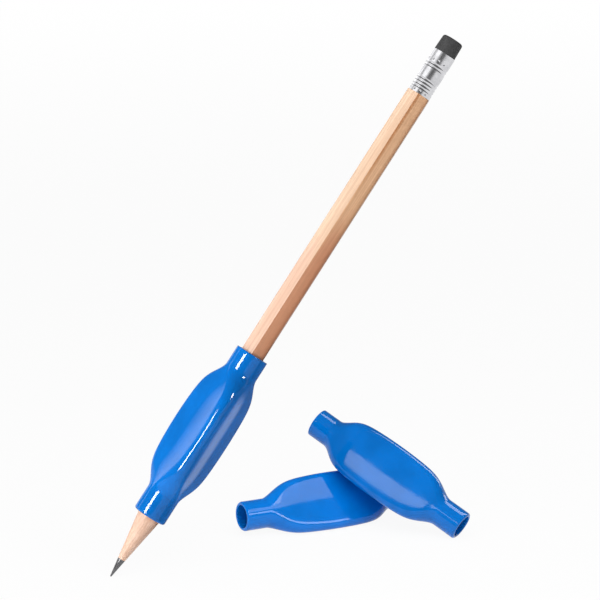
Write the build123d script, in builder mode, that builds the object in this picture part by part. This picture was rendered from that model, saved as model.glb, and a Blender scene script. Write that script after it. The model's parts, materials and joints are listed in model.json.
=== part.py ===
"""Soft finger grip on a wooden pencil held to write, with two loose grips on the desk."""

import os
from math import cos, degrees, exp, pi, radians, sin, sqrt

from build123d import *

os.makedirs("parts", exist_ok=True)

# Grip, lengths in mm
GRIP_LENGTH = 56.8
LOW_NECK = 7.6
TOP_NECK = 6.0
GRIP_WALL = 1.05
LOOSE_BORE = 7.1
RIDGE_RADIUS = 10.1
RIDGE_ROUND = 2.01
FLAT_TURN = 8
CROWN_FALL = 2.0
SHOULDER_REACH = 4.6
SHOULDER_BEND = 1.8
FLAT_BLEND = 3
LOW_RIM_ROUND = 0.7
RIM_ROUND = 0.3
STATIONS = 14

# Pencil, along its axis from the point
GRIP_START = 21.1
PENCIL_LENGTH = 188.2
ACROSS_FLATS = 7.1
EDGE_ROUND = 0.3
LEAD_DIAMETER = 2.3
TIP_DIAMETER = 0.4
POINT_LENGTH = 20.9
ERASER_SHOW = 5.0
ERASER_SEAT = 6.4
ERASER_DIAMETER = 6.9
ERASER_TAPER = 2
ERASER_ROUND = 0.7
FERRULE_LENGTH = 14.2
FERRULE_DIAMETER = 7.2
FERRULE_WALL = 0.35
TENON_LENGTH = 6.6

# Rolled grooves and crimp dents of the ferrule, from its lower edge
GROOVE_ROUND = 0.55
GROOVE_DEPTH = 0.16
GROOVE_PITCH = 0.97
LOW_GROOVE = 1.8
LOW_GROOVE_COUNT = 4
HIGH_GROOVE = 8.9
HIGH_GROOVE_COUNT = 2
DENT_ROUND = 0.5
DENT_DEPTH = 0.16
LOW_DENT = 0.9
HIGH_DENT = 11.2
DENT_COUNT = 12

# Clearances
SLIP_GAP = 0.05
GLUE_GAP = 0.02
REST_GAP = 0.2

# How the pencil is held, in degrees, and how far its casing is rolled in the grip
PENCIL_LEAN = 54.9
PENCIL_TURN = 20.5
CASING_ROLL = 11

# Where the loose grips lie, to the right of the point and behind it
LOWER_RIGHT = 38.1
LOWER_BEHIND = 39.0
LOWER_TURN = 27.5
UPPER_RIGHT = 105.5
UPPER_BEHIND = 36.8
UPPER_TURN = 151.5
STEEPEST_LEAN = 45
LEAN_STEPS = 7

# Worked out from the sizes above
body_length = GRIP_LENGTH - LOW_NECK - TOP_NECK
ridge_sweep = (120 - FLAT_TURN) / 2
ridge_fall = cos(radians(ridge_sweep)) + sin(radians(ridge_sweep)) / sqrt(3) - 1
round_fall = 1 - 2 * sin(radians(ridge_sweep)) / sqrt(3)
flat_radius = (RIDGE_ROUND * ridge_fall + RIDGE_RADIUS * round_fall) / (ridge_fall + round_fall)
corner_radius = (ACROSS_FLATS - 2 * EDGE_ROUND) / sqrt(3) + EDGE_ROUND
fitted_bore = corner_radius + SLIP_GAP
loose_bore = LOOSE_BORE / 2
loose_neck = loose_bore + GRIP_WALL
tip_radius = TIP_DIAMETER / 2
lead_radius = LEAD_DIAMETER / 2
point_slope = (ACROSS_FLATS / 2 - tip_radius) / POINT_LENGTH
lead_show = (lead_radius - tip_radius) / point_slope
cone_end = (ACROSS_FLATS - tip_radius) / point_slope
ferrule_end = PENCIL_LENGTH - ERASER_SHOW
ferrule_start = ferrule_end - FERRULE_LENGTH
ferrule_radius = FERRULE_DIAMETER / 2
ferrule_bore = ferrule_radius - FERRULE_WALL
wood_end = ferrule_start + TENON_LENGTH

# The pencil's frame: its origin is on the point, and the grip's middle is the part's origin
pencil_way = Vector(1, 0, 0).rotate(Axis.Y, -PENCIL_LEAN).rotate(Axis.Z, PENCIL_TURN)
front = Vector(0, -1, 0)
facing = (front - pencil_way * front.dot(pencil_way)).normalized()
tip = pencil_way * -(GRIP_START + GRIP_LENGTH / 2)
desk = tip.Z - tip_radius * cos(radians(PENCIL_LEAN))
point = Plane(origin=tip, x_dir=facing, z_dir=pencil_way)
front_corner = facing.rotate(Axis((0, 0, 0), pencil_way), -CASING_ROLL)
casing_point = Plane(origin=tip, x_dir=front_corner, z_dir=pencil_way)
glue_plane = Plane(origin=tip, x_dir=front_corner, z_dir=front_corner.cross(pencil_way))
pencil_axis = Axis(tip, pencil_way)


def spoke(length, bearing):
    """Point at this distance and bearing from the middle of a sketch."""
    return Vector(length, 0).rotate(Axis.Z, bearing)


def ring(flat, ridge):
    """Cross-section of a grip: three ridges and three finger flats, as six tangent arcs."""
    ridge_round = flat - (ridge - flat) * round_fall / ridge_fall
    arcs = []
    for turn in (0, 120, 240):
        centre = spoke(ridge - ridge_round, turn)
        start = centre + spoke(ridge_round, turn - ridge_sweep)
        end = centre + spoke(ridge_round, turn + ridge_sweep)
        next_start = start.rotate(Axis.Z, 120)
        arcs.append(ThreePointArc(start, spoke(ridge, turn), end))
        arcs.append(ThreePointArc(end, spoke(flat, turn + 60), next_start))
    return Face(Wire(arcs))


def swell(reach, neck):
    """Flat and ridge radii of the skin at this distance from the nearer neck."""
    crest = RIDGE_RADIUS - CROWN_FALL * (1 - 2 * reach / body_length) ** 2
    ridge = neck + (crest - neck) * (1 - exp(-((reach / SHOULDER_REACH) ** SHOULDER_BEND)))
    rise = flat_radius - neck
    climb = (ridge - neck) / rise
    flat = neck + rise * (1 - exp(-(climb**FLAT_BLEND))) ** (1 / FLAT_BLEND)
    return flat, ridge


def bulb(low_rim, neck, inset):
    """Cross-sections of a grip's body from neck to neck, set in from its skin."""
    sections = []
    for step in range(STATIONS + 1):
        along = body_length * (1 - cos(pi * step / STATIONS)) / 2
        flat, ridge = swell(min(along, body_length - along), neck)
        sections.append(low_rim.offset(LOW_NECK + along) * ring(flat - inset, ridge - inset))
    return sections


def sleeve(low_rim, bore):
    """Hollow grip that starts at this rim plane, with necks of this bore radius."""
    neck = bore + GRIP_WALL
    outside = bulb(low_rim, neck, 0)
    hollow = bulb(low_rim, neck, GRIP_WALL)
    with BuildPart() as made:
        for sections, radius, mode in ((outside, neck, Mode.ADD), (hollow, bore, Mode.SUBTRACT)):
            loft(sections, mode=mode)
            with BuildSketch(low_rim):
                Circle(radius)
            extrude(amount=LOW_NECK, mode=mode)
            with BuildSketch(low_rim.offset(GRIP_LENGTH)):
                Circle(radius)
            extrude(amount=-TOP_NECK, mode=mode)
        grip_axis = Axis(low_rim.origin, low_rim.z_dir)
        low_edges = made.faces().sort_by(grip_axis)[0].edges()
        fillet(low_edges.sort_by(SortBy.LENGTH)[-1], LOW_RIM_ROUND)
        low_edges = made.faces().sort_by(grip_axis)[0].edges()
        top_edges = made.faces().sort_by(grip_axis)[-1].edges()
        fillet(low_edges.sort_by(SortBy.LENGTH)[:1] + top_edges, RIM_ROUND)
    return made


def rim_plane(right, behind, height, way):
    """Plane of a loose grip's low rim, with a ridge uppermost and so a flat downwards."""
    up = Vector(0, 0, 1)
    ridge_way = (up - way * up.dot(way)).normalized()
    return Plane(origin=(tip.X + right, tip.Y + behind, desk + height), x_dir=ridge_way, z_dir=way)


def leaning_plane(lean):
    """Low rim plane of the upper loose grip, whose rim stands on the desk at this lean."""
    tilt = radians(lean)
    height = (loose_neck - LOW_RIM_ROUND) * cos(tilt) + LOW_RIM_ROUND * (1 - sin(tilt))
    way = Vector(1, 0, 0).rotate(Axis.Y, -lean).rotate(Axis.Z, UPPER_TURN)
    return rim_plane(UPPER_RIGHT, UPPER_BEHIND, height, way)


def slat(side):
    """Half of the pencil's casing, on this side of the glue plane."""
    with BuildPart() as made:
        with BuildSketch(casing_point.offset(lead_show)):
            RegularPolygon(ACROSS_FLATS / 2, 6, major_radius=False)
            fillet(vertices(), EDGE_ROUND)
        extrude(amount=wood_end - lead_show)
        with BuildSketch(glue_plane):
            with BuildLine():
                Polyline(
                    (0, lead_show),
                    (lead_radius, lead_show),
                    (ACROSS_FLATS, cone_end),
                    (ACROSS_FLATS, ferrule_start),
                    (ferrule_bore - GLUE_GAP, ferrule_start),
                    (ferrule_bore - GLUE_GAP, wood_end),
                    (0, wood_end),
                    close=True,
                )
            make_face()
        revolve(axis=pencil_axis, mode=Mode.INTERSECT)
        with BuildSketch(point):
            Circle(lead_radius + GLUE_GAP)
        extrude(amount=wood_end, mode=Mode.SUBTRACT)
        split(bisect_by=glue_plane, keep=side)
    return made


# Pencil
left_slat = slat(Keep.TOP)
right_slat = slat(Keep.BOTTOM)

with BuildPart() as graphite_core:
    with BuildSketch(glue_plane):
        with BuildLine():
            Polyline(
                (0, 0),
                (tip_radius, 0),
                (lead_radius, lead_show),
                (lead_radius, wood_end),
                (0, wood_end),
                close=True,
            )
        make_face()
    revolve(axis=pencil_axis)

with BuildPart() as ferrule:
    with BuildSketch(point.offset(ferrule_start)):
        Circle(ferrule_radius)
        Circle(ferrule_bore, mode=Mode.SUBTRACT)
    extrude(amount=FERRULE_LENGTH)
    low_row = [LOW_GROOVE + GROOVE_PITCH * step for step in range(LOW_GROOVE_COUNT)]
    high_row = [HIGH_GROOVE + GROOVE_PITCH * step for step in range(HIGH_GROOVE_COUNT)]
    groove_centre = ferrule_radius - GROOVE_DEPTH + GROOVE_ROUND
    with BuildSketch(glue_plane):
        with Locations(*[(groove_centre, ferrule_start + height) for height in low_row + high_row]):
            Circle(GROOVE_ROUND)
    revolve(axis=pencil_axis, mode=Mode.SUBTRACT)
    for height in (LOW_DENT, HIGH_DENT):
        with Locations(point.offset(ferrule_start + height)):
            with PolarLocations(ferrule_radius - DENT_DEPTH + DENT_ROUND, DENT_COUNT):
                Sphere(DENT_ROUND, mode=Mode.SUBTRACT)

with BuildPart() as eraser:
    with BuildSketch(point.offset(ferrule_end - ERASER_SEAT)):
        Circle(ferrule_bore - GLUE_GAP)
    extrude(amount=ERASER_SEAT)
    with BuildSketch(point.offset(ferrule_end)):
        Circle(ERASER_DIAMETER / 2)
    extrude(amount=ERASER_SHOW, taper=ERASER_TAPER)
    fillet(eraser.faces().sort_by(pencil_axis)[-1].edges(), ERASER_ROUND)

# Fitted grip, its necks stretched by the pencil's corners
fitted_grip = sleeve(point.offset(GRIP_START), fitted_bore)

# Loose grips, of one relaxed shape
relaxed = sleeve(Plane.XY, loose_bore)
relaxed_skin = Solid.make_loft([section.outer_wire() for section in bulb(Plane.XY, loose_neck, 0)])
low_to_high = relaxed_skin.faces().sort_by(Axis.X)
underside = Compound(low_to_high[:3])
topside = Compound(low_to_high[-3:])
lower_way = Vector(1, 0, 0).rotate(Axis.Z, LOWER_TURN)
lower_place = Location(rim_plane(LOWER_RIGHT, LOWER_BEHIND, flat_radius, lower_way))

# The upper one tips down about its rim, never further than the room left, until it rests on the lower one
lean = STEEPEST_LEAN
for step in range(LEAN_STEPS):
    leaning_side = underside.moved(Location(leaning_plane(lean)))
    room = leaning_side.distance_to(topside.moved(lower_place)) - REST_GAP
    lean -= degrees(room / GRIP_LENGTH)

with BuildPart() as spare_grip_lower:
    add(relaxed.part.moved(lower_place))

with BuildPart() as spare_grip_upper:
    add(relaxed.part.moved(Location(leaning_plane(lean))))

export_step(left_slat.part, "parts/left_slat.step")
export_step(right_slat.part, "parts/right_slat.step")
export_step(graphite_core.part, "parts/graphite_core.step")
export_step(ferrule.part, "parts/ferrule.step")
export_step(eraser.part, "parts/eraser.step")
export_step(fitted_grip.part, "parts/fitted_grip.step")
export_step(spare_grip_lower.part, "parts/spare_grip_lower.step")
export_step(spare_grip_upper.part, "parts/spare_grip_upper.step")
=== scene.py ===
"""Soft finger grips for pencils: one on a sharpened wooden pencil, two loose ones on the desk."""

import json
from math import atan2, copysign, cos, exp, hypot, pi, radians, sin, sqrt, tan
from typing import NamedTuple

import bmesh
import bpy
from bpy.props import FloatProperty, FloatVectorProperty, PointerProperty
from mathutils import Matrix, Vector


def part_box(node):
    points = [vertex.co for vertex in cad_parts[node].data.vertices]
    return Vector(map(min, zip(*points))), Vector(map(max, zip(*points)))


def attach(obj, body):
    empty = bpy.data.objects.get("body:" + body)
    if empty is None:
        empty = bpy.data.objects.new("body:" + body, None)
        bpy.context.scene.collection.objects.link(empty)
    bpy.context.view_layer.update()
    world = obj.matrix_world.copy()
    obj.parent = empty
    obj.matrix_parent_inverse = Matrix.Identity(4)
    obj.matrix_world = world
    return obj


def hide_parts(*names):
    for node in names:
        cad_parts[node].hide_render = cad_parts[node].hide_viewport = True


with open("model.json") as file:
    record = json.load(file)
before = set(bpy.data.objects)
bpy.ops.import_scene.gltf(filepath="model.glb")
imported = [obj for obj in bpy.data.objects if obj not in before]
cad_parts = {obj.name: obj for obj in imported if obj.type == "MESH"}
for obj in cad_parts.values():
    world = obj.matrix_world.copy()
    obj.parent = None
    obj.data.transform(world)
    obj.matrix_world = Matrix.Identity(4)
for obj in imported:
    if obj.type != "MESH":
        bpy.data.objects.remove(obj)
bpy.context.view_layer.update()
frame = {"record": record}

bl_info = {
    "name": "Pencil grip",
    "version": (1, 0, 0),
    "blender": (4, 5, 0),
    "location": "View3D > Sidebar > Pencil grip",
    "description": "Soft pencil grips, one of them on a wooden pencil, on a white desk",
    "category": "Add Mesh",
}

MM = 0.001
UP = Vector((0, 0, 1))
FRONT = Vector((0, -1, 0))
THIRD = 2 * pi / 3

# Counts that make the forms
CASING_SIDES = 6
LOW_GROOVE_COUNT = 4
HIGH_GROOVE_COUNT = 2
DENT_COUNT = 12

# How finely the pieces are divided
GRIP_SPOKES = 144
GRIP_BODY_RINGS = 56
NECK_RINGS = 4
RIDGE_SHARE = 0.55
FERRULE_SPOKES = 144
FERRULE_RINGS = 142
TURNED_SPOKES = 128
EDGE_STEPS = 14
ROUND_STEPS = 6

# How near to a cut a point counts as on it, in metres
CUT_PRECISION = 1e-7

# Facets that meet at less than this are one smooth surface
SMOOTH_TURN = radians(30)
WOOD_TURN = radians(6)


def length(name, description, millimetres):
    """Size setting, in metres, with its default written in millimetres."""
    return FloatProperty(
        name=name, description=description, default=millimetres * MM, min=0, unit="LENGTH"
    )


def angle(name, description, degrees):
    """Angle setting, in radians, with its default written in degrees."""
    return FloatProperty(name=name, description=description, default=radians(degrees), subtype="ANGLE")


def colour(name, description, value):
    """Colour setting."""
    return FloatVectorProperty(
        name=name, description=description, default=value, min=0, max=1, subtype="COLOR"
    )


class GripSettings(bpy.types.PropertyGroup):
    """Sizes and colour of the grips."""

    long: length("Length", "From rim to rim", 56.8)
    low_neck: length("Low neck", "Length of the neck nearer to the point", 7.6)
    top_neck: length("Top neck", "Length of the other neck", 6.0)
    wall: length("Wall", "Thickness of the vinyl", 1.05)
    fitted_bore: length("Fitted bore", "Bore radius over the pencil's corners", 4.103)
    ridge_radius: length("Ridge radius", "From the axis to a ridge at the middle", 10.1)
    ridge_round: length("Ridge round", "Rounding of a ridge at the middle", 2.01)
    crown_fall: length("Crown fall", "How much lower a ridge is towards its ends", 2.0)
    shoulder_reach: length("Shoulder reach", "Run over which a neck swells to the body", 4.6)
    flat_reach: length("Flat reach", "Run over which a neck widens to a flat", 5.5)
    low_rim_round: length("Low rim round", "Outer rounding of the low rim", 0.7)
    rim_round: length("Rim round", "Rounding of the other rim edges", 0.3)
    flat_turn: angle("Flat turn", "Turn of a flat's arc", 8)
    shoulder_bend: FloatProperty(
        name="Shoulder bend", description="Sharpness of the shoulders", default=1.8
    )
    vinyl: colour("Vinyl", "Colour of the vinyl", (0.000, 0.190, 0.690))


class PencilSettings(bpy.types.PropertyGroup):
    """Sizes and colours of the pencil, along its axis from the point."""

    grip_start: length("Grip start", "From the point to the fitted grip's low rim", 21.1)
    long: length("Length", "From the point to the end of the eraser", 188.2)
    across_flats: length("Across flats", "Width of the casing between flats", 7.1)
    roll: angle("Roll", "Turn of the casing's front corner to the left", 11)
    edge_round: length("Edge round", "Rounding of the casing's edges", 0.6)
    lead_radius: length("Lead radius", "Radius of the lead", 1.15)
    tip_radius: length("Tip radius", "Radius of the blunt point", 0.2)
    point_length: length("Point length", "From the point to where the cone meets a flat", 20.9)
    tenon_length: length("Tenon length", "How far the wood goes into the ferrule", 6.6)
    glue_gap: length("Glue gap", "Gap at the glued joints", 0.02)
    pale_wood: colour("Pale wood", "Tone of the left half", (0.90, 0.66, 0.48))
    rosy_wood: colour("Rosy wood", "Tone of the left half below its middle", (0.90, 0.62, 0.475))
    tan_wood: colour("Tan wood", "Tone of the right half", (0.90, 0.56, 0.33))
    red_wood: colour("Red wood", "Tone of the right half below its middle", (0.68, 0.31, 0.17))
    summer_wood: colour("Summer wood", "Tint of the bands of darker growth", (0.80, 0.66, 0.56))
    # Painted shade: a tint that darkens the right half's outer face, standing in for the shade that falls
    # there
    outer_face_shade: colour("Outer wood", "Tint of the right half's outer face", (0.70, 0.60, 0.52))
    fibre: colour("Fibre", "Tone of the fibres", (0.50, 0.26, 0.14))
    pore: colour("Pore", "Tone of the pores", (0.36, 0.17, 0.09))
    vein: colour("Vein", "Tone of the vein below the ferrule", (0.50, 0.19, 0.06))
    graphite: colour("Graphite", "Colour of the lead", (0.17, 0.17, 0.175))


class FerruleSettings(bpy.types.PropertyGroup):
    """Sizes and colours of the ferrule and the eraser, from the ferrule's lower edge."""

    long: length("Length", "Length of the ferrule", 14.2)
    radius: length("Radius", "Outer radius of the ferrule", 3.6)
    wall: length("Wall", "Thickness of the sheet", 0.35)
    groove_round: length("Groove round", "Rounding of a rolled groove", 0.55)
    groove_depth: length("Groove depth", "Depth of a rolled groove", 0.16)
    groove_pitch: length("Groove pitch", "From one groove to the next", 0.97)
    low_groove: length("Low groove", "Height of the lowest groove of the lower group", 1.8)
    high_groove: length("High groove", "Height of the lowest groove of the upper group", 8.9)
    dent_round: length("Dent round", "Rounding of a crimp dent", 0.5)
    dent_depth: length("Dent depth", "Depth of a crimp dent", 0.16)
    low_dent: length("Low dents", "Height of the lower row of dents", 0.9)
    high_dent: length("High dents", "Height of the upper row of dents", 11.2)
    lip_round: length("Lip round", "Rounding of the ferrule's edges", 0.08)
    eraser_show: length("Eraser show", "Height of the eraser above the ferrule", 5.0)
    eraser_seat: length("Eraser seat", "How far the eraser goes into the ferrule", 6.4)
    eraser_radius: length("Eraser radius", "Radius of the eraser above the ferrule", 3.45)
    eraser_round: length("Eraser round", "Rounding of the eraser's end", 0.7)
    eraser_taper: angle("Eraser taper", "Slope of the eraser's side", 2)
    metal: colour("Metal", "Colour of the sheet", (0.70, 0.70, 0.72))
    dull_metal: colour("Dull metal", "Colour of the sheet where it is smudged", (0.54, 0.54, 0.56))
    rubber: colour("Rubber", "Colour of the eraser", (0.056, 0.056, 0.057))


class StageSettings(bpy.types.PropertyGroup):
    """Camera, desk and light."""

    camera_away: length("Camera distance", "From the camera to what it looks at", 980)
    camera_right: length("Camera right", "How far right of the grip's middle the camera looks", 29.33)
    camera_above: length("Camera above", "How far above the grip's middle the camera looks", 38.84)
    camera_behind: length("Camera behind", "How far behind the grip's middle the camera looks", 9.52)
    camera_rise: angle("Camera rise", "Elevation of the camera", 13.8)
    lens: FloatProperty(name="Lens", description="Focal length", default=199, subtype="DISTANCE_CAMERA")
    floor_wide: length("Floor width", "Width of the desk", 8000)
    floor: colour("Floor", "Colour of the desk", (0.65, 0.65, 0.65))
    sky: FloatProperty(name="Sky", description="Light from all round", default=0.15)
    card_bearing: angle("Card bearing", "Where the card stands, from the camera's side to the right", 134)
    card_rise: angle("Card rise", "Elevation of the card", -35)
    card_away: length("Card distance", "From the fitted grip's axis to the card", 16)
    card_wide: length("Card width", "Width of the card", 50)
    card_long: length("Card length", "Length of the card", 70)
    card_shift: length("Card shift", "How far the card's middle lies to one side", 15)


GROUPS = {
    "grip_sizes": GripSettings,
    "pencil_sizes": PencilSettings,
    "ferrule_sizes": FerruleSettings,
    "stage_sizes": StageSettings,
}


# Places, from the frame


def mount_entry(name):
    """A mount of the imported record."""
    return next(entry for entry in frame["record"]["mounts"] if entry["name"] == name)


def mount(name):
    """Place and axis of a mount."""
    found = mount_entry(name)
    return Vector(found["pos_m"]), Vector(found["axis"])


def place(origin, along, facing):
    """Placement whose Z runs along a piece and whose X turns to this side as far as it can."""
    x = (facing - along * facing.dot(along)).normalized()
    y = along.cross(x)
    return Matrix.Translation(origin) @ Matrix((x, y, along)).transposed().to_4x4()


def pencil_place():
    """Placement of the pencil: its point at the origin, a corner of its casing to the front."""
    middle, along = mount("finger_hold")
    scene = bpy.context.scene
    point = scene.pencil_sizes.grip_start + scene.grip_sizes.long / 2
    roll = Matrix.Rotation(-scene.pencil_sizes.roll, 4, "Z")
    return place(middle - along * point, along, FRONT) @ roll


def ferrule_start():
    """Height of the ferrule's lower edge above the point."""
    scene = bpy.context.scene
    return scene.pencil_sizes.long - scene.ferrule_sizes.eraser_show - scene.ferrule_sizes.long


def wood_end():
    """Height of the end of the wood above the point."""
    return ferrule_start() + bpy.context.scene.pencil_sizes.tenon_length


def point_slope():
    """Growth of the sharpened cone's radius with height."""
    sizes = bpy.context.scene.pencil_sizes
    return (sizes.across_flats / 2 - sizes.tip_radius) / sizes.point_length


def lead_show():
    """Height at which the wood of the sharpened cone begins."""
    sizes = bpy.context.scene.pencil_sizes
    return (sizes.lead_radius - sizes.tip_radius) / point_slope()


# Modelling


def only(piece):
    """Makes this the one selected object."""
    bpy.ops.object.select_all(action="DESELECT")
    piece.select_set(True)
    bpy.context.view_layer.objects.active = piece


def new_piece(name):
    """Names the object that was just added, and goes into edit mode with all of it selected."""
    piece = bpy.context.object
    piece.name = name
    piece.data.name = name
    only(piece)
    bpy.ops.object.transform_apply(location=True, rotation=True, scale=True)
    bpy.ops.object.mode_set(mode="EDIT")
    bpy.ops.mesh.select_all(action="SELECT")
    return piece


def tube(name, spokes, radius, heights):
    """Open tube on +Z: a ring extruded from height to height. It is left in edit mode."""
    bpy.ops.object.select_all(action="DESELECT")
    bpy.ops.mesh.primitive_circle_add(vertices=spokes, radius=radius, location=(0, 0, heights[0]))
    piece = new_piece(name)
    for low, high in zip(heights, heights[1:]):
        bpy.ops.mesh.extrude_edges_move(TRANSFORM_OT_translate={"value": (0, 0, high - low)})
    bpy.ops.mesh.select_all(action="SELECT")
    bpy.ops.mesh.normals_make_consistent(inside=False)
    return piece


def turned(name, profile):
    """Closed turned solid on +Z through these radii and heights. It is left in edit mode."""
    radius, height = profile[0]
    bpy.ops.object.select_all(action="DESELECT")
    bpy.ops.mesh.primitive_circle_add(
        vertices=TURNED_SPOKES, radius=radius, fill_type="NGON", location=(0, 0, height)
    )
    piece = new_piece(name)
    for next_radius, next_height in profile[1:]:
        rise = (0, 0, next_height - height)
        bpy.ops.mesh.extrude_region_move(TRANSFORM_OT_translate={"value": rise})
        grow = next_radius / radius
        bpy.ops.transform.resize(value=(grow, grow, 1), center_override=(0, 0, next_height))
        radius, height = next_radius, next_height
    bpy.ops.mesh.select_all(action="SELECT")
    bpy.ops.mesh.normals_make_consistent(inside=False)
    return piece


def reshape(piece, moved):
    """In edit mode, moves each vertex of a piece to where this function says."""
    mesh = bmesh.from_edit_mesh(piece.data)
    for vertex in mesh.verts:
        vertex.co = moved(vertex.co)
    bmesh.update_edit_mesh(piece.data)


def round_edges(piece, wanted, offset, steps):
    """In edit mode, bevels just the edges for whose two ends this function holds."""
    bpy.ops.mesh.select_mode(type="EDGE")
    bpy.ops.mesh.select_all(action="DESELECT")
    mesh = bmesh.from_edit_mesh(piece.data)
    for edge in mesh.edges:
        edge.select_set(wanted(edge.verts[0].co, edge.verts[1].co))
    bmesh.update_edit_mesh(piece.data)
    bpy.ops.mesh.bevel(offset=offset, segments=steps, affect="EDGES")


def apply_modifier(piece, kind, **settings):
    """Leaves edit mode, adds a modifier to a piece and applies it."""
    bpy.ops.object.mode_set(mode="OBJECT")
    only(piece)
    modifier = piece.modifiers.new(kind.lower(), kind)
    for key, value in settings.items():
        setattr(modifier, key, value)
    bpy.ops.object.modifier_apply(modifier=modifier.name)


def cut(piece, tool, operation):
    """Joins a piece and a tool solid, and removes the tool."""
    apply_modifier(piece, "BOOLEAN", object=tool, operation=operation, solver="EXACT")
    bpy.data.objects.remove(tool)


def dress(piece, where, node, finish, turn=SMOOTH_TURN):
    """Puts a finished piece in its place, in the stead of its CAD node."""
    bpy.ops.object.mode_set(mode="OBJECT")
    only(piece)
    piece.matrix_world = where
    bpy.ops.object.transform_apply(location=True, rotation=True, scale=True)
    bpy.ops.object.shade_smooth_by_angle(angle=turn)
    piece.data.materials.clear()
    piece.data.materials.append(finish)
    record = frame["record"]
    body = next(name for name, nodes in record["behaviour"]["bodies"].items() if node in nodes)
    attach(piece, body)
    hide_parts(node)


# Grips


def ridge_sweep(sizes):
    """Half the turn of a ridge's arc."""
    return (THIRD - sizes.flat_turn) / 2


def section_falls(sizes):
    """How fast the ridge and its rounding change as a section's arcs spread."""
    sweep = ridge_sweep(sizes)
    ridge_fall = cos(sweep) + sin(sweep) / sqrt(3) - 1
    round_fall = 1 - 2 * sin(sweep) / sqrt(3)
    return ridge_fall, round_fall


def skin_radii(sizes, neck, height):
    """Radii of a grip's flats and ridges at this height above its low rim."""
    ridge_fall, round_fall = section_falls(sizes)
    widest_flat = sizes.ridge_round * ridge_fall + sizes.ridge_radius * round_fall
    widest_flat /= ridge_fall + round_fall
    body = sizes.long - sizes.low_neck - sizes.top_neck
    along = min(max(height - sizes.low_neck, 0), body)
    reach = min(along, body - along)
    crest = sizes.ridge_radius - sizes.crown_fall * (1 - 2 * reach / body) ** 2
    swell = 1 - exp(-((reach / sizes.shoulder_reach) ** sizes.shoulder_bend))
    widen = 1 - exp(-((reach / sizes.flat_reach) ** sizes.shoulder_bend))
    return neck + (widest_flat - neck) * widen, neck + (crest - neck) * swell


def skin_point(sizes, neck, spot):
    """Where a point of a plain tube goes on a grip's skin of three ridges and three flats."""
    sweep = ridge_sweep(sizes)
    ridge_fall, round_fall = section_falls(sizes)
    flat, ridge = skin_radii(sizes, neck, spot.z)
    spread = (ridge - flat) / ridge_fall
    ridge_round = flat - spread * round_fall
    bearing = atan2(spot.y, spot.x)
    turn = round(bearing / THIRD) * THIRD
    share = 2 * (bearing - turn) / THIRD
    if abs(share) <= RIDGE_SHARE:
        around = sweep * share / RIDGE_SHARE
        x = ridge - ridge_round + ridge_round * cos(around)
        y = ridge_round * sin(around)
    else:
        around = sweep + (THIRD / 2 - sweep) * (abs(share) - RIDGE_SHARE) / (1 - RIDGE_SHARE)
        behind = 2 * spread * sin(sweep) / sqrt(3)
        x = (spread + ridge_round) * cos(around) - behind * cos(THIRD / 2)
        y = copysign((spread + ridge_round) * sin(around) - behind * sin(THIRD / 2), share)
    return Matrix.Rotation(turn, 3, "Z") @ Vector((x, y, spot.z))


def grip_heights(sizes):
    """Heights of a grip's rings: even along the necks, closer together at the shoulders."""
    body = sizes.long - sizes.low_neck - sizes.top_neck
    heights = [sizes.low_neck * step / NECK_RINGS for step in range(NECK_RINGS)]
    for step in range(GRIP_BODY_RINGS + 1):
        heights.append(sizes.low_neck + body * (1 - cos(pi * step / GRIP_BODY_RINGS)) / 2)
    for step in range(NECK_RINGS):
        heights.append(sizes.low_neck + body + sizes.top_neck * (step + 1) / NECK_RINGS)
    return heights


def grip(name, bore):
    """Hollow grip on +Z from its low rim, with a ridge towards +X."""
    sizes = bpy.context.scene.grip_sizes
    neck = bore + sizes.wall
    piece = tube(name, GRIP_SPOKES, neck, grip_heights(sizes))
    reshape(piece, lambda spot: skin_point(sizes, neck, spot))
    apply_modifier(piece, "SOLIDIFY", thickness=sizes.wall, offset=-1, use_even_offset=True)
    bpy.ops.object.mode_set(mode="EDIT")
    middle = neck - sizes.wall / 2
    slack = sizes.rim_round / 2

    def low_outer(a, b):
        return max(a.z, b.z) < slack and min(hypot(a.x, a.y), hypot(b.x, b.y)) > middle

    def other_rims(a, b):
        if min(a.z, b.z) > sizes.long - slack:
            return abs(hypot(a.x, a.y) - hypot(b.x, b.y)) < slack
        return max(a.z, b.z) < slack and max(hypot(a.x, a.y), hypot(b.x, b.y)) < bore + slack

    round_edges(piece, low_outer, sizes.low_rim_round, ROUND_STEPS)
    round_edges(piece, other_rims, sizes.rim_round, ROUND_STEPS)
    return piece


class MESH_OT_add_grips(bpy.types.Operator):
    """Adds the grip on the pencil and the two loose ones"""

    bl_idname = "mesh.add_grips"
    bl_label = "Grips"

    def execute(self, context):
        sizes = context.scene.grip_sizes
        finish = vinyl_finish(sizes)
        half = sizes.long / 2
        middle, along = mount("finger_hold")
        fitted = grip("grip_on_pencil", sizes.fitted_bore)
        dress(fitted, place(middle - along * half, along, FRONT), "fitted_grip", finish)
        for name, mount_name, node, sense in (
            ("loose_grip_lower", "spare_lower_bore", "spare_grip_lower", -1),
            ("loose_grip_upper", "spare_upper_bore", "spare_grip_upper", 1),
        ):
            middle, out = mount(mount_name)
            loose = grip(name, mount_entry(mount_name)["dims"]["r_mm"] * MM)
            along = out * sense
            dress(loose, place(middle - along * half, along, UP), node, finish)
        return {"FINISHED"}


# Pencil


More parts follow.
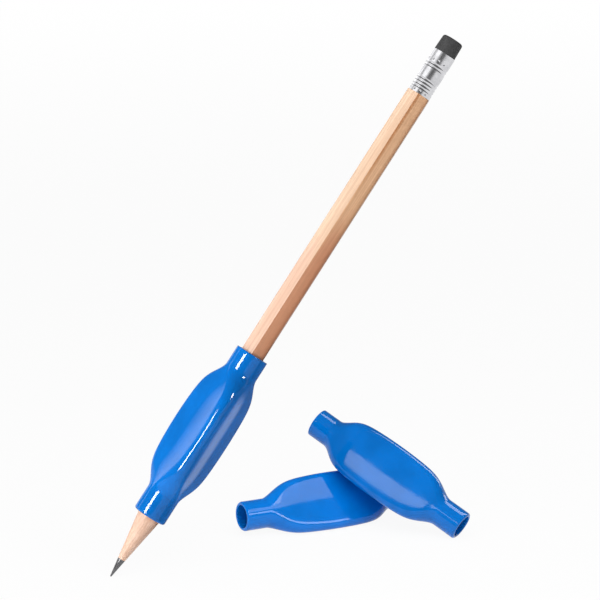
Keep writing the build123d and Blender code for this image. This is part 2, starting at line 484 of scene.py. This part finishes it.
def casing(name):
    """Whole wooden casing: a hexagon bar with rounded edges, turned to a cone and a tenon, and bored."""
    sizes = bpy.context.scene.pencil_sizes
    ferrule = bpy.context.scene.ferrule_sizes
    corner = sizes.across_flats / sqrt(3)
    bpy.ops.object.select_all(action="DESELECT")
    bpy.ops.mesh.primitive_cylinder_add(
        vertices=CASING_SIDES,
        radius=corner,
        depth=sizes.long,
        location=(0, 0, sizes.long / 2),
        rotation=(0, 0, pi / CASING_SIDES),
    )
    bar = new_piece(name)
    setback = sizes.edge_round * tan(pi / CASING_SIDES)
    round_edges(bar, lambda a, b: abs(a.z - b.z) > corner, setback, EDGE_STEPS)
    bpy.ops.object.mode_set(mode="OBJECT")
    wide = sizes.across_flats
    tenon = ferrule.radius - ferrule.wall - sizes.glue_gap
    blank = turned(
        "turned_blank",
        [
            (sizes.lead_radius, lead_show()),
            (wide, (wide - sizes.tip_radius) / point_slope()),
            (wide, ferrule_start()),
            (tenon, ferrule_start()),
            (tenon, wood_end()),
        ],
    )
    cut(bar, blank, "INTERSECT")
    groove = sizes.lead_radius + sizes.glue_gap
    drill = turned("drill", [(groove, 0), (groove, sizes.long)])
    cut(bar, drill, "DIFFERENCE")
    return bar


class MESH_OT_add_casing(bpy.types.Operator):
    """Adds the two glued halves of the pencil's wooden casing"""

    bl_idname = "mesh.add_casing"
    bl_label = "Casing"

    def execute(self, context):
        sizes = context.scene.pencil_sizes
        gap = sizes.glue_gap / 2
        whole = casing("casing_left")
        only(whole)
        bpy.ops.object.duplicate()
        other = context.object
        other.name = "casing_right"
        other.data.name = "casing_right"
        for half, node, side in ((whole, "left_slat", -1), (other, "right_slat", 1)):
            only(half)
            bpy.ops.object.mode_set(mode="EDIT")
            bpy.ops.mesh.select_all(action="SELECT")
            bpy.ops.mesh.bisect(
                plane_co=(0, side * gap, 0),
                plane_no=(0, side, 0),
                use_fill=True,
                clear_inner=True,
                threshold=CUT_PRECISION,
            )
            dress(half, pencil_place(), node, wood_finish(sizes, side), WOOD_TURN)
        return {"FINISHED"}


class MESH_OT_add_lead(bpy.types.Operator):
    """Adds the graphite lead with its sharpened point"""

    bl_idname = "mesh.add_lead"
    bl_label = "Lead"

    def execute(self, context):
        sizes = context.scene.pencil_sizes
        blunt = sizes.tip_radius
        arc = [pi / 2 * step / ROUND_STEPS for step in range(1, ROUND_STEPS)]
        tip = [(blunt * sin(turn), blunt * (1 - cos(turn))) for turn in arc]
        cone = [(blunt + point_slope() * blunt, blunt), (sizes.lead_radius, lead_show())]
        lead = turned("lead", tip + cone + [(sizes.lead_radius, wood_end())])
        dress(lead, pencil_place(), "graphite_core", graphite_finish(sizes))
        return {"FINISHED"}


# Ferrule and eraser


def bowl(away, rounding, depth):
    """Depth of a round-bottomed groove or dent at this distance from its middle."""
    if away >= rounding:
        return 0
    return max(sqrt(rounding**2 - away**2) - rounding + depth, 0)


def ferrule_point(sizes, spot):
    """Where a point of a plain tube goes on the ferrule, with its grooves and crimp dents."""
    grooves = [sizes.low_groove + sizes.groove_pitch * step for step in range(LOW_GROOVE_COUNT)]
    grooves += [sizes.high_groove + sizes.groove_pitch * step for step in range(HIGH_GROOVE_COUNT)]
    nearest = min(abs(spot.z - height) for height in grooves)
    sunk = bowl(nearest, sizes.groove_round, sizes.groove_depth)
    pitch = 2 * pi / DENT_COUNT
    bearing = atan2(spot.y, spot.x)
    around = (bearing - round(bearing / pitch) * pitch) * sizes.radius
    for height in (sizes.low_dent, sizes.high_dent):
        sunk = max(sunk, bowl(hypot(around, spot.z - height), sizes.dent_round, sizes.dent_depth))
    keep = 1 - sunk / sizes.radius
    return Vector((spot.x * keep, spot.y * keep, spot.z))


class MESH_OT_add_ferrule(bpy.types.Operator):
    """Adds the rolled and crimped metal ferrule"""

    bl_idname = "mesh.add_ferrule"
    bl_label = "Ferrule"

    def execute(self, context):
        sizes = context.scene.ferrule_sizes
        heights = [sizes.long * step / FERRULE_RINGS for step in range(FERRULE_RINGS + 1)]
        piece = tube("ferrule_sleeve", FERRULE_SPOKES, sizes.radius, heights)
        reshape(piece, lambda spot: ferrule_point(sizes, spot))
        apply_modifier(piece, "SOLIDIFY", thickness=sizes.wall, offset=-1)
        bpy.ops.object.mode_set(mode="EDIT")
        slack = sizes.lip_round / 2

        def lips(a, b):
            level = max(a.z, b.z) < slack or min(a.z, b.z) > sizes.long - slack
            return level and abs(hypot(a.x, a.y) - hypot(b.x, b.y)) < slack

        round_edges(piece, lips, sizes.lip_round, ROUND_STEPS)
        where = pencil_place() @ Matrix.Translation((0, 0, ferrule_start()))
        dress(piece, where, "ferrule", metal_finish(sizes))
        return {"FINISHED"}


class MESH_OT_add_eraser(bpy.types.Operator):
    """Adds the rubber eraser that the ferrule holds"""

    bl_idname = "mesh.add_eraser"
    bl_label = "Eraser"

    def execute(self, context):
        sizes = context.scene.ferrule_sizes
        seat = sizes.radius - sizes.wall - context.scene.pencil_sizes.glue_gap
        side = sizes.eraser_show - sizes.eraser_round
        narrow = sizes.eraser_radius - side * tan(sizes.eraser_taper)
        profile = [
            (seat, -sizes.eraser_seat),
            (seat, 0),
            (sizes.eraser_radius, 0),
            (narrow, side),
        ]
        for step in range(1, ROUND_STEPS + 1):
            turn = pi / 2 * step / ROUND_STEPS
            height = sizes.eraser_show - sizes.eraser_round * (1 - sin(turn))
            profile.append((narrow - sizes.eraser_round * (1 - cos(turn)), height))
        piece = turned("eraser_plug", profile)
        where = pencil_place() @ Matrix.Translation((0, 0, ferrule_start() + sizes.long))
        dress(piece, where, "eraser", rubber_finish(sizes))
        return {"FINISHED"}


# Finishes

WHITE = (1, 1, 1, 1)

# Sockets of a Mix node that mixes colours
MIX_FACTOR, MIX_FIRST, MIX_SECOND, MIX_RESULT = 0, 6, 7, 2


def darker(tone, share):
    """A colour at this share of its brightness."""
    return tuple(share * part for part in tone)


class Signal:
    """A node's output, with sums and products that add the nodes for them."""

    def __init__(self, finish, socket):
        self.finish = finish
        self.socket = socket

    def maths(self, operation, first, second):
        return self.finish.node("ShaderNodeMath", {"operation": operation}, {0: first, 1: second})

    def __add__(self, other):
        return self.maths("ADD", self, other)

    def __radd__(self, other):
        return self.maths("ADD", other, self)

    def __sub__(self, other):
        return self.maths("SUBTRACT", self, other)

    def __rsub__(self, other):
        return self.maths("SUBTRACT", other, self)

    def __mul__(self, other):
        return self.maths("MULTIPLY", self, other)

    def __rmul__(self, other):
        return self.maths("MULTIPLY", other, self)


class Finish:
    """A material or a world under construction."""

    def __init__(self, block):
        block.use_nodes = True
        self.block = block
        self.tree = block.node_tree
        self.tree.nodes.clear()

    def node(self, kind, settings, inputs, output=0):
        """Adds a node with these settings and socket values or links, and gives one of its outputs."""
        made = self.tree.nodes.new(kind)
        for key, value in settings.items():
            setattr(made, key, value)
        for key, value in inputs.items():
            if isinstance(value, Signal):
                self.tree.links.new(value.socket, made.inputs[key])
            else:
                made.inputs[key].default_value = value
        return Signal(self, made.outputs[output]) if made.outputs else None

    def spot(self, kind="Object"):
        """Coordinates on a piece, or the direction in a world."""
        return self.node("ShaderNodeTexCoord", {}, {}, kind)

    def local(self, where):
        """Coordinates in a piece's own frame, from this placement."""
        back = where.inverted()
        shift, turn = back.to_translation(), back.to_euler()
        turned_back = {"Vector": self.spot(), "Location": shift, "Rotation": turn}
        return self.node("ShaderNodeMapping", {}, turned_back)

    def axis(self, spot, name):
        """One coordinate."""
        return self.node("ShaderNodeSeparateXYZ", {}, {"Vector": spot}, name)

    def noise(self, spot, scale, detail, rough):
        """Noise from 0 to 1."""
        look = {"Vector": spot, "Scale": scale, "Detail": detail, "Roughness": rough}
        return self.node("ShaderNodeTexNoise", {}, look)

    def grain(self, spot, across, along, detail, rough):
        """Noise that is drawn out along a piece."""
        drawn = self.node("ShaderNodeMapping", {}, {"Vector": spot, "Scale": (across, across, along)})
        return self.noise(drawn, 1, detail, rough)

    def level(self, value, low, high, at_low=0, at_high=1):
        """Stretches the span from low to high over another span, and stops at its ends."""
        span = {"Value": value, "From Min": low, "From Max": high, "To Min": at_low, "To Max": at_high}
        return self.node("ShaderNodeMapRange", {"interpolation_type": "SMOOTHSTEP"}, span)

    def fall(self, value, low, high):
        """From 1 at low to 0 at high."""
        return self.level(value, low, high, 1, 0)

    def mix(self, factor, first, second, blend="MIX"):
        """Mixes two colours."""
        return self.node(
            "ShaderNodeMix",
            {"data_type": "RGBA", "blend_type": blend},
            {MIX_FACTOR: factor, MIX_FIRST: self.rgba(first), MIX_SECOND: self.rgba(second)},
            MIX_RESULT,
        )

    def tinted(self, tone, tint):
        """A colour multiplied by another."""
        return self.mix(1, tone, tint, "MULTIPLY")

    def rgba(self, value):
        """A colour as a socket takes it."""
        return value if isinstance(value, Signal) else (*value, 1)

    def bump(self, height, strength, distance):
        """A bumped normal."""
        relief = {"Height": height, "Strength": strength, "Distance": distance}
        return self.node("ShaderNodeBump", {}, relief)

    def glow(self, strength, kind="Emission"):
        """White light from a surface, or from a world's background."""
        return self.node(f"ShaderNode{kind}", {}, {"Color": WHITE, "Strength": strength})

    def blend(self, factor, first, second):
        """Mixes two shaders."""
        return self.node("ShaderNodeMixShader", {}, {0: factor, 1: first, 2: second})

    def done(self, surface, kind="Material"):
        """Ends in this surface, and gives the finished material or world."""
        self.node(f"ShaderNodeOutput{kind}", {}, {"Surface": surface})
        return self.block

    def shader(self, **inputs):
        """Ends in a principled shader with these inputs, whose names are written with underscores."""
        values = {key.replace("_", " "): value for key, value in inputs.items()}
        return self.done(self.node("ShaderNodeBsdfPrincipled", {}, values))


def vinyl_finish(sizes):
    """Glossy dipped vinyl: faint clouds in the colour, a hint of flow in the skin."""
    finish = Finish(bpy.data.materials.new("dipped_vinyl"))
    spot = finish.spot()
    clouds = finish.noise(spot, scale=90, detail=3, rough=0.55)
    flow = finish.noise(spot, scale=160, detail=1, rough=0.4)
    smears = finish.noise(spot, scale=120, detail=1, rough=0.5)
    cloudy = finish.level(clouds, low=0.35, high=0.65)
    return finish.shader(
        Base_Color=finish.mix(cloudy, darker(sizes.vinyl, share=0.86), sizes.vinyl),
        Roughness=finish.level(smears, low=0.3, high=0.75, at_low=0.05, at_high=0.08),
        IOR=1.5,
        Specular_IOR_Level=0.3,
        Normal=finish.bump(flow, strength=0.02, distance=0.4 * MM),
    )


class Turn(NamedTuple):
    """Heights between which a half of the casing changes its tone, in millimetres from the point."""

    start: float
    end: float


LEFT_TURN = Turn(start=108, end=118)
RIGHT_TURN = Turn(start=110, end=128)
POINT_TURN = Turn(start=19.5, end=22.5)

# A change of tone wanders by this much, with a noise round this middle
WANDER_REACH = 30 * MM
NOISE_MIDDLE = 0.5

# Depth of the pores beside that of the fibres
PORE_DEPTH = 0.5


def wood_finish(sizes, side):
    """Lacquered soft wood with straight fibres, each half of the casing from its own slat, with painted
    shade on the right half's outer face.
    """
    left = side < 0
    finish = Finish(bpy.data.materials.new("wood_left" if left else "wood_right"))
    spot = finish.local(pencil_place())
    along = finish.axis(spot, "Z")
    bands = finish.grain(spot, across=700, along=9, detail=3, rough=0.55)
    fibres = finish.grain(spot, across=2600, along=60, detail=4, rough=0.65)
    pores = finish.grain(spot, across=5200, along=420, detail=2, rough=0.6)
    wander = finish.grain(spot, across=500, along=25, detail=2, rough=0.5)
    turn = LEFT_TURN if left else RIGHT_TURN
    wavy = along + (wander - NOISE_MIDDLE) * WANDER_REACH
    height = finish.level(wavy, low=turn.start * MM, high=turn.end * MM)
    if left:
        tone = finish.mix(height, sizes.rosy_wood, sizes.pale_wood)
    else:
        shaft = finish.level(along, low=POINT_TURN.start * MM, high=POINT_TURN.end * MM)
        tone = finish.mix(height, sizes.red_wood, sizes.tan_wood)
        tone = finish.mix(shaft, sizes.rosy_wood, tone)
    growth = finish.level(bands, low=0.38, high=0.60, at_low=0.45, at_high=0)
    tone = finish.mix(growth, tone, finish.tinted(tone, sizes.summer_wood))
    streaks = finish.level(fibres, low=0.40, high=0.62, at_low=0.25, at_high=0)
    tone = finish.mix(streaks, tone, sizes.fibre)
    dashes = finish.level(pores, low=0.60, high=0.72, at_high=0.25)
    tone = finish.mix(dashes, tone, sizes.pore)
    if not left:
        across = finish.axis(spot, "Y")
        near_seam = finish.fall(across, low=0.2 * MM, high=1.2 * MM)
        below_ferrule = finish.level(along, low=130 * MM, high=150 * MM, at_high=0.8)
        tone = finish.mix(near_seam * below_ferrule, tone, sizes.vein)
        # Painted shade: from 2 to 3.6 mm across, the right half's outer face is tinted darker to stand in
        # for its shade
        outer = finish.level(across, low=2.0 * MM, high=3.6 * MM)
        tone = finish.mix(outer, tone, finish.tinted(tone, sizes.outer_face_shade))
    return finish.shader(
        Base_Color=tone,
        Roughness=finish.level(fibres, low=0.3, high=0.7, at_low=0.48, at_high=0.36),
        IOR=1.45,
        Normal=finish.bump(fibres + pores * PORE_DEPTH, strength=0.11, distance=0.06 * MM),
    )


def graphite_finish(sizes):
    """Graphite: dark, with the lengthwise scratches of a sharpener and a dull shine."""
    finish = Finish(bpy.data.materials.new("graphite"))
    spot = finish.local(pencil_place())
    scratches = finish.grain(spot, across=3800, along=700, detail=3, rough=0.6)
    dust = finish.noise(spot, scale=2600, detail=2, rough=0.6)
    dusty = finish.level(dust, low=0.35, high=0.7)
    return finish.shader(
        Base_Color=finish.mix(dusty, darker(sizes.graphite, share=0.6), sizes.graphite),
        Metallic=0.55,
        Roughness=finish.level(scratches, low=0.3, high=0.7, at_low=0.14, at_high=0.24),
        Normal=finish.bump(scratches, strength=0.10, distance=0.08 * MM),
    )


def metal_finish(sizes):
    """Bright rolled sheet with fine lengthwise drawing marks and handling smudges."""
    finish = Finish(bpy.data.materials.new("rolled_sheet"))
    spot = finish.local(pencil_place())
    drawn = finish.grain(spot, across=4200, along=90, detail=3, rough=0.6)
    smudges = finish.noise(spot, scale=520, detail=3, rough=0.6)
    dull = finish.level(smudges, low=0.4, high=0.7, at_high=0.5)
    return finish.shader(
        Base_Color=finish.mix(dull, sizes.metal, sizes.dull_metal),
        Metallic=1,
        Roughness=finish.level(smudges, low=0.3, high=0.75, at_low=0.20, at_high=0.32),
        Normal=finish.bump(drawn, strength=0.12, distance=0.05 * MM),
    )


def rubber_finish(sizes):
    """Matte charcoal rubber with fine grit."""
    finish = Finish(bpy.data.materials.new("eraser_rubber"))
    spot = finish.spot()
    grit = finish.noise(spot, scale=5200, detail=3, rough=0.6)
    clouds = finish.noise(spot, scale=700, detail=3, rough=0.5)
    cloudy = finish.level(clouds, low=0.35, high=0.7)
    return finish.shader(
        Base_Color=finish.mix(cloudy, darker(sizes.rubber, share=0.75), sizes.rubber),
        Roughness=finish.level(grit, low=0.3, high=0.7, at_low=0.62, at_high=0.82),
        Normal=finish.bump(grit, strength=0.3, distance=0.08 * MM),
    )


# Stage

GRIP = ("grip_on_pencil",)
WOOD = ("casing_left", "casing_right", "lead", "eraser_plug")
SHEET = ("ferrule_sleeve",)
LOWER = ("loose_grip_lower",)
UPPER = ("loose_grip_upper",)
DESK = ("desk",)
ALL = GRIP + WOOD + SHEET + LOWER + UPPER + DESK


class Lamp(NamedTuple):
    """A soft lamp on some pieces, by its direction and its size as its target sees it, in degrees.

    It may light the pieces without showing in their gloss, or only show there. How far away it
    stands is in metres.
    """

    name: str
    lit: tuple
    target: str
    bearing: float
    rise: float
    wide: float
    tall: float
    radiance: float
    turn: float = 0
    shades: bool = True
    mirrored: bool = True
    away: float = 0.9


# Nested lamps for the band on the fitted grip's left flat, each smaller and nearer than the last
BAND_EDGE = -105.1
BAND_WIDTHS = (7.4, 5.9, 4.3, 2.8)
BAND_TALL = 38
BAND_TALL_STEP = 4
BAND_AWAY = 0.90
BAND_AWAY_STEP = 0.03
BAND_LAMPS = tuple(
    Lamp(
        name=f"grip_band_{step}", lit=GRIP, target="fitted_grip",
        bearing=BAND_EDGE - wide / 2, rise=24, wide=wide, tall=BAND_TALL - step * BAND_TALL_STEP,
        radiance=0.8, shades=False, away=BAND_AWAY - step * BAND_AWAY_STEP,
    )
    for step, wide in enumerate(BAND_WIDTHS)
)

LAMPS = (
    Lamp(
        name="overhead", lit=ALL, target="fitted_grip",
        bearing=0, rise=85, wide=60, tall=50, radiance=1.0, mirrored=False,
    ),
    Lamp(
        name="desk_wash", lit=DESK, target="fitted_grip",
        bearing=0, rise=85, wide=60, tall=50, radiance=0.9, mirrored=False,
    ),
    Lamp(
        name="wood_key", lit=WOOD, target="fitted_grip",
        bearing=-40, rise=22, wide=13, tall=28, radiance=20.5,
    ),
    Lamp(
        name="wood_side", lit=WOOD, target="fitted_grip",
        bearing=-86, rise=24, wide=46, tall=24, radiance=1.6,
    ),
    Lamp(
        name="sheet_panel", lit=SHEET, target="ferrule",
        bearing=-56, rise=38, wide=42, tall=40, radiance=0.9,
    ),
    Lamp(
        name="sheet_wash", lit=SHEET, target="ferrule",
        bearing=-75, rise=30, wide=100, tall=60, radiance=0.45,
    ),
    Lamp(
        name="sheet_side", lit=SHEET, target="ferrule",
        bearing=-140, rise=20, wide=44, tall=50, radiance=0.9,
    ),
    Lamp(
        name="grip_key", lit=GRIP, target="fitted_grip",
        bearing=-55, rise=27, wide=30, tall=28, radiance=9.2, mirrored=False,
    ),
    Lamp(
        name="grip_side", lit=GRIP, target="fitted_grip",
        bearing=-86, rise=24, wide=46, tall=24, radiance=0.8, mirrored=False,
    ),
    Lamp(
        name="grip_strip", lit=GRIP, target="fitted_grip",
        bearing=-40, rise=22, wide=16, tall=27, radiance=40, shades=False,
    ),
    *BAND_LAMPS,
    Lamp(
        name="grip_glint", lit=GRIP, target="fitted_grip",
        bearing=50.5, rise=23, wide=9, tall=19, radiance=40, shades=False,
    ),
    Lamp(
        name="upper_key", lit=UPPER + DESK, target="spare_grip_upper",
        bearing=-20, rise=40, wide=60, tall=50, radiance=2.3, mirrored=False,
    ),
    Lamp(
        name="upper_panel", lit=UPPER, target="spare_grip_upper",
        bearing=-22.5, rise=28.3, wide=45, tall=6, radiance=4.6, turn=-25, shades=False,
    ),
    Lamp(
        name="upper_line", lit=UPPER, target="spare_grip_upper",
        bearing=120, rise=44, wide=18, tall=64, radiance=7, shades=False,
    ),
    Lamp(
        name="lower_key", lit=LOWER + DESK, target="spare_grip_lower",
        bearing=28, rise=42, wide=60, tall=40, radiance=3.1, mirrored=False,
    ),
    Lamp(
        name="lower_side", lit=LOWER, target="spare_grip_lower",
        bearing=-62, rise=12, wide=40, tall=20, radiance=6, mirrored=False,
    ),
    Lamp(
        name="lower_panel", lit=LOWER, target="spare_grip_lower",
        bearing=44, rise=50, wide=66, tall=22, radiance=3.3, turn=-7, shades=False,
    ),
    Lamp(
        name="lower_front", lit=LOWER, target="spare_grip_lower",
        bearing=12, rise=38, wide=16, tall=34, radiance=4.5, shades=False,
    ),
    Lamp(
        name="lower_line", lit=LOWER, target="spare_grip_lower",
        bearing=36, rise=26, wide=48, tall=10, radiance=8, turn=-4, shades=False,
    ),
)


class Band(NamedTuple):
    """Where a bright band begins, is full, wanes and ends, in millimetres from the card's origin."""

    start: float
    full: float
    wane: float
    end: float


ACROSS_BAND = Band(start=-10.0, full=-8.5, wane=-6.8, end=-5.0)
ALONG_BAND = Band(start=-26, full=-16, wane=12, end=22)


def middle_of(node):
    """Middle of a CAD node's box."""
    low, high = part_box(node)
    return (low + high) / 2


def heading(bearing, rise):
    """Direction from the object, at this bearing to the right of the camera's side and this elevation."""
    return Vector((sin(bearing) * cos(rise), -cos(bearing) * cos(rise), sin(rise)))


def softbox(lamp):
    """Soft lamp that faces its target, as wide, tall and bright as the target sees it, for some pieces."""
    out = heading(radians(lamp.bearing), radians(lamp.rise))
    bpy.ops.object.light_add(type="AREA", location=middle_of(lamp.target) + out * lamp.away)
    light = bpy.context.object
    light.name = lamp.name
    facing = out.to_track_quat("Z", "Y").to_matrix() @ Matrix.Rotation(radians(lamp.turn), 3, "Z")
    light.rotation_euler = facing.to_euler()
    light.data.shape = "RECTANGLE"
    light.data.size = 2 * lamp.away * tan(radians(lamp.wide) / 2)
    light.data.size_y = 2 * lamp.away * tan(radians(lamp.tall) / 2)
    light.data.energy = lamp.radiance * pi * light.data.size * light.data.size_y
    light.visible_camera = False
    light.visible_diffuse = lamp.shades
    light.visible_glossy = lamp.mirrored
    lit = bpy.data.collections.new(lamp.name)
    for name in lamp.lit:
        lit.objects.link(bpy.data.objects[name])
    light.light_linking.receiver_collection = lit


def seen(finish):
    """Whether a ray comes from the camera, from a mirroring surface or through glass."""
    camera, mirror, glass = (
        finish.node("ShaderNodeLightPath", {}, {}, kind)
        for kind in ("Is Camera Ray", "Is Glossy Ray", "Is Transmission Ray")
    )
    return camera.maths("MAXIMUM", camera, camera.maths("MAXIMUM", mirror, glass))


def desk_finish(sizes):
    """Pale desk that shows white, and keeps a soft shadow near the object."""
    finish = Finish(bpy.data.materials.new("white_desk"))
    away = finish.node("ShaderNodeVectorMath", {"operation": "LENGTH"}, {0: finish.spot()}, "Value")
    white = finish.level(away, low=0.25, high=1.2, at_low=0.93)
    board = finish.node("ShaderNodeBsdfDiffuse", {}, {"Color": finish.rgba(sizes.floor)})
    return finish.done(finish.blend(seen(finish) * white, board, finish.glow(strength=1)))


def inside(finish, along, band):
    """1 where a band is full, and running out towards both its ends."""
    rise = finish.level(along, low=band.start * MM, high=band.full * MM)
    return rise * finish.fall(along, low=band.wane * MM, high=band.end * MM)


def card_finish():
    """Card that glows faintly, with one brighter glowing band along it, seen from its front only."""
    finish = Finish(bpy.data.materials.new("side_card"))
    spot = finish.spot()
    across = inside(finish, finish.axis(spot, "X"), ACROSS_BAND)
    along = inside(finish, finish.axis(spot, "Y"), ALONG_BAND)
    front = finish.blend(across * along, finish.glow(strength=0.25), finish.glow(strength=1.6))
    clear = finish.node("ShaderNodeBsdfTransparent", {}, {})
    behind = finish.node("ShaderNodeNewGeometry", {}, {}, "Backfacing")
    return finish.done(finish.blend(behind, front, clear))


def side_card(sizes):
    """Glowing card to the right of the fitted grip, a stand-in light that shows only in gloss, as the
    sheen on the grip's right flat.
    """
    middle, along = mount("finger_hold")
    out = heading(sizes.card_bearing, sizes.card_rise)
    long = (along - out * along.dot(out)).normalized()
    bpy.ops.object.select_all(action="DESELECT")
    bpy.ops.mesh.primitive_grid_add(x_subdivisions=1, y_subdivisions=1, size=1)
    card = bpy.context.object
    card.name = "side_card"
    bpy.ops.object.mode_set(mode="EDIT")
    bpy.ops.mesh.select_all(action="SELECT")
    bpy.ops.transform.resize(value=(sizes.card_wide, sizes.card_long, 1))
    bpy.ops.transform.translate(value=(-sizes.card_shift, 0, 0))
    bpy.ops.object.mode_set(mode="OBJECT")
    turn = Matrix((long.cross(out), long, -out)).transposed().to_4x4()
    card.matrix_world = Matrix.Translation(middle + out * sizes.card_away) @ turn
    card.data.materials.append(card_finish())
    card.visible_camera = False
    card.visible_diffuse = False
    card.visible_shadow = False


def world_finish(sizes):
    """A fill from all round, and white up to a little above the horizon where that is seen or mirrored."""
    finish = Finish(bpy.data.worlds.new("studio"))
    spot = finish.spot("Generated")
    higher_behind = finish.level(finish.axis(spot, "Y"), low=-0.2, high=0.6, at_high=0.1)
    low = finish.fall(finish.axis(spot, "Z") - higher_behind, low=0.05, high=0.12)
    fill = finish.glow(strength=sizes.sky, kind="Background")
    white = finish.glow(strength=1, kind="Background")
    return finish.done(finish.blend(seen(finish) * low, fill, white), "World")


class SCENE_OT_set_stage(bpy.types.Operator):
    """Sets up the white desk, the soft lamps and the camera"""

    bl_idname = "scene.set_stage"
    bl_label = "Stage"

    def execute(self, context):
        sizes = context.scene.stage_sizes
        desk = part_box("graphite_core")[0].z
        bpy.ops.object.select_all(action="DESELECT")
        bpy.ops.mesh.primitive_plane_add(size=sizes.floor_wide, location=(0, 0, desk))
        floor = context.object
        floor.name = "desk"
        floor.data.materials.append(desk_finish(sizes))
        for lamp in LAMPS:
            softbox(lamp)
        side_card(sizes)
        context.scene.world = world_finish(sizes)
        self.place_camera(context, sizes)
        context.scene.view_settings.view_transform = "Standard"
        return {"FINISHED"}

    def place_camera(self, context, sizes):
        """Camera at the photograph's angle and distance."""
        target = Vector((sizes.camera_right, sizes.camera_behind, sizes.camera_above))
        out = heading(0, sizes.camera_rise)
        bpy.ops.object.camera_add(location=target + out * sizes.camera_away)
        camera = context.object
        camera.rotation_euler = out.to_track_quat("Z", "Y").to_euler()
        camera.data.lens = sizes.lens
        context.scene.camera = camera


OPERATORS = (
    MESH_OT_add_grips,
    MESH_OT_add_casing,
    MESH_OT_add_lead,
    MESH_OT_add_ferrule,
    MESH_OT_add_eraser,
    SCENE_OT_set_stage,
)


class VIEW3D_PT_pencil_grip(bpy.types.Panel):
    """Lists the pieces and their sizes"""

    bl_idname = "VIEW3D_PT_pencil_grip"
    bl_label = "Pencil grip"
    bl_space_type = "VIEW_3D"
    bl_region_type = "UI"
    bl_category = "Pencil grip"

    def draw(self, context):
        for operator in OPERATORS:
            self.layout.operator(operator.bl_idname)
        for group in GROUPS:
            sizes = getattr(context.scene, group)
            for key in sizes.__annotations__:
                self.layout.prop(sizes, key)


def register():
    """Registers the classes and their settings."""
    for group, kind in GROUPS.items():
        bpy.utils.register_class(kind)
        setattr(bpy.types.Scene, group, PointerProperty(type=kind))
    for kind in (*OPERATORS, VIEW3D_PT_pencil_grip):
        bpy.utils.register_class(kind)


def unregister():
    """Removes the classes and their settings."""
    for kind in reversed((*OPERATORS, VIEW3D_PT_pencil_grip)):
        bpy.utils.unregister_class(kind)
    for group, kind in GROUPS.items():
        delattr(bpy.types.Scene, group)
        bpy.utils.unregister_class(kind)


def main():
    """Adds every piece and the stage."""
    register()
    bpy.ops.mesh.add_grips()
    bpy.ops.mesh.add_casing()
    bpy.ops.mesh.add_lead()
    bpy.ops.mesh.add_ferrule()
    bpy.ops.mesh.add_eraser()
    bpy.ops.scene.set_stage()


if __name__ == "__main__":
    main()
